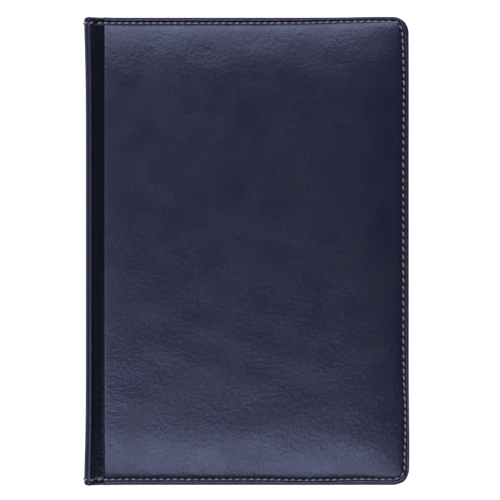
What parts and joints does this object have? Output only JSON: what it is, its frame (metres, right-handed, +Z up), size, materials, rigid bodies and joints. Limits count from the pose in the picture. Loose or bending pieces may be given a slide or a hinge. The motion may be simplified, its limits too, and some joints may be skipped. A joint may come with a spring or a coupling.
{
  "type": "pilot logbook",
  "caption": "Portrait case-bound logbook with a padded, edge-stitched leathercloth cover, grooved joints, and sewn sections that slip as it opens flat.",
  "frame": {"origin": "under the middle of the closed book, on the plane that its back cover rests on", "axes": "+X from the spine to the fore-edge, +Y to the head, +Z up through the front cover"},
  "size_m": [0.15, 0.216, 0.023],
  "materials": {
    "navy_leathercloth": "satin",
    "stitching_thread": "satin",
    "foam": "matte",
    "greyboard": "matte",
    "endpaper": "matte",
    "page_paper": "matte",
    "sewing_thread": "matte",
    "mull_gauze": "matte",
    "kraft_paper": "matte",
    "band_cloth": "satin"
  },
  "bodies": {
    "back_cover": {"back_cover_leather": "navy_leathercloth", "back_foam_pad": "foam", "back_board": "greyboard", "back_stitching": "stitching_thread", "back_endpaper": "endpaper", "mull": "mull_gauze", "spine_lining": "kraft_paper", "headband": "band_cloth", "tailband": "band_cloth", "section_10": "page_paper", "thread_10": "sewing_thread"},
    "spine": {"spine_leather": "navy_leathercloth", "spine_card": "greyboard", "spine_stitching": "stitching_thread"},
    "front_cover": {"front_cover_leather": "navy_leathercloth", "front_foam_pad": "foam", "front_board": "greyboard", "front_stitching": "stitching_thread", "front_endpaper": "endpaper", "section_01": "page_paper", "thread_01": "sewing_thread"},
    "section_09_slip": {"section_09": "page_paper", "thread_09": "sewing_thread"},
    "section_02_slip": {"section_02": "page_paper", "thread_02": "sewing_thread"},
    "section_08_slip": {"section_08": "page_paper", "thread_08": "sewing_thread"},
    "section_03_slip": {"section_03": "page_paper", "thread_03": "sewing_thread"},
    "section_07_slip": {"section_07": "page_paper", "thread_07": "sewing_thread"},
    "section_04_slip": {"section_04": "page_paper", "thread_04": "sewing_thread"},
    "section_06_slip": {"section_06": "page_paper", "thread_06": "sewing_thread"},
    "section_05_slip": {"section_05": "page_paper", "thread_05": "sewing_thread"},
    "leaf_right_1_turn": {"leaf_right_1": "page_paper"},
    "leaf_left_1_turn": {"leaf_left_1": "page_paper"},
    "leaf_right_2_turn": {"leaf_right_2": "page_paper"},
    "leaf_left_2_turn": {"leaf_left_2": "page_paper"}
  },
  "joints": [
    {"name": "spine_hinge", "type": "hinge", "parent": "back_cover", "child": "spine", "pos_m": [-0.07367, 0, 0.00133], "axis": [0, -1, 0], "range_deg": [0, 90], "deforming": ["headband", "tailband", "mull", "spine_lining"]},
    {"name": "cover_hinge", "type": "hinge", "parent": "spine", "child": "front_cover", "pos_m": [-0.07367, 0, 0.02167], "axis": [0, -1, 0], "range_deg": [0, 90]},
    {"name": "section_09_slide", "type": "slide", "parent": "back_cover", "child": "section_09_slip", "axis": [-1, 0, 0], "range_m": [0, 0.00191]},
    {"name": "section_02_slide", "type": "slide", "parent": "front_cover", "child": "section_02_slip", "axis": [-1, 0, 0], "range_m": [0, 0.00191]},
    {"name": "section_08_slide", "type": "slide", "parent": "back_cover", "child": "section_08_slip", "axis": [-1, 0, 0], "range_m": [0, 0.0061]},
    {"name": "section_03_slide", "type": "slide", "parent": "front_cover", "child": "section_03_slip", "axis": [-1, 0, 0], "range_m": [0, 0.0061]},
    {"name": "section_07_slide", "type": "slide", "parent": "back_cover", "child": "section_07_slip", "axis": [-1, 0, 0], "range_m": [0, 0.0103]},
    {"name": "section_04_slide", "type": "slide", "parent": "front_cover", "child": "section_04_slip", "axis": [-1, 0, 0], "range_m": [0, 0.0103]},
    {"name": "section_06_slide", "type": "slide", "parent": "back_cover", "child": "section_06_slip", "axis": [-1, 0, 0], "range_m": [0, 0.0122]},
    {"name": "section_05_slide", "type": "slide", "parent": "front_cover", "child": "section_05_slip", "axis": [-1, 0, 0], "range_m": [0, 0.0122]},
    {"name": "leaf_right_1_hinge", "type": "hinge", "parent": "section_06_slip", "child": "leaf_right_1_turn", "pos_m": [-0.071, 0, 0.01121], "axis": [0, -1, 0], "range_deg": [0, 3.01]},
    {"name": "leaf_left_1_hinge", "type": "hinge", "parent": "section_05_slip", "child": "leaf_left_1_turn", "pos_m": [-0.071, 0, 0.01179], "axis": [0, 1, 0], "range_deg": [0, 3.01]},
    {"name": "leaf_right_2_hinge", "type": "hinge", "parent": "section_06_slip", "child": "leaf_right_2_turn", "pos_m": [-0.071, 0, 0.01137], "axis": [0, -1, 0], "range_deg": [0, 7.01]},
    {"name": "leaf_left_2_hinge", "type": "hinge", "parent": "section_05_slip", "child": "leaf_left_2_turn", "pos_m": [-0.071, 0, 0.01163], "axis": [0, 1, 0], "range_deg": [0, 7.01]}
  ],
  "couplings": [
    {"joint": "section_09_slide", "follows": "spine_hinge", "m_per_rad": 0.0012134},
    {"joint": "section_02_slide", "follows": "cover_hinge", "m_per_rad": 0.0012134},
    {"joint": "section_08_slide", "follows": "spine_hinge", "m_per_rad": 0.0038834},
    {"joint": "section_03_slide", "follows": "cover_hinge", "m_per_rad": 0.0038834},
    {"joint": "section_07_slide", "follows": "spine_hinge", "m_per_rad": 0.0065534},
    {"joint": "section_04_slide", "follows": "cover_hinge", "m_per_rad": 0.0065534},
    {"joint": "section_06_slide", "follows": "spine_hinge", "m_per_rad": 0.0077668},
    {"joint": "section_05_slide", "follows": "cover_hinge", "m_per_rad": 0.0077668},
    {"joint": "leaf_right_1_hinge", "follows": "spine_hinge", "ratio": 0.033333},
    {"joint": "leaf_left_1_hinge", "follows": "cover_hinge", "ratio": 0.033333},
    {"joint": "leaf_right_2_hinge", "follows": "spine_hinge", "ratio": 0.077778},
    {"joint": "leaf_left_2_hinge", "follows": "cover_hinge", "ratio": 0.077778}
  ]
}
